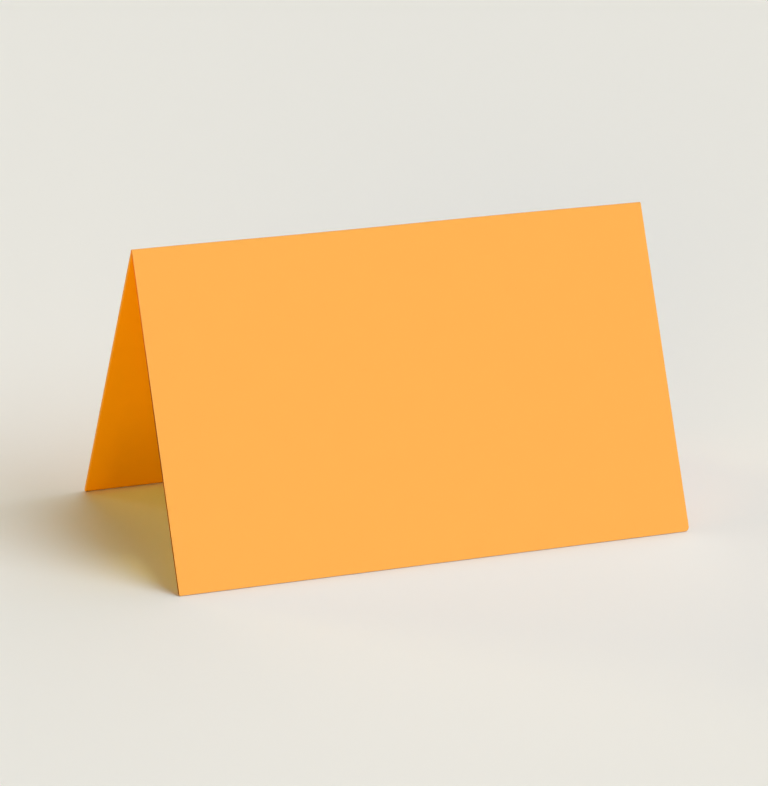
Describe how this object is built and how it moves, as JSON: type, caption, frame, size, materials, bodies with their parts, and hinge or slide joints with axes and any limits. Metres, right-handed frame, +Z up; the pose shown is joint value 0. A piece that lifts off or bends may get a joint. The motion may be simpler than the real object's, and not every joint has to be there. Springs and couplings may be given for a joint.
{
  "type": "place card",
  "caption": "Plain sheet of heavy card, creased across its middle into a tent that stands on its cut edges, open at its ends.",
  "frame": {"origin": "middle of the rectangle that the card stands on, at the level of its two resting edges", "axes": "+X along the fold, -Y towards the front of the card, +Z up"},
  "size_m": [0.09, 0.0492, 0.0504],
  "materials": {
    "orange_card": "matt, dyed through, with a plain cut edge"
  },
  "bodies": {
    "root": {"folded_card": "orange_card"}
  },
  "joints": []
}
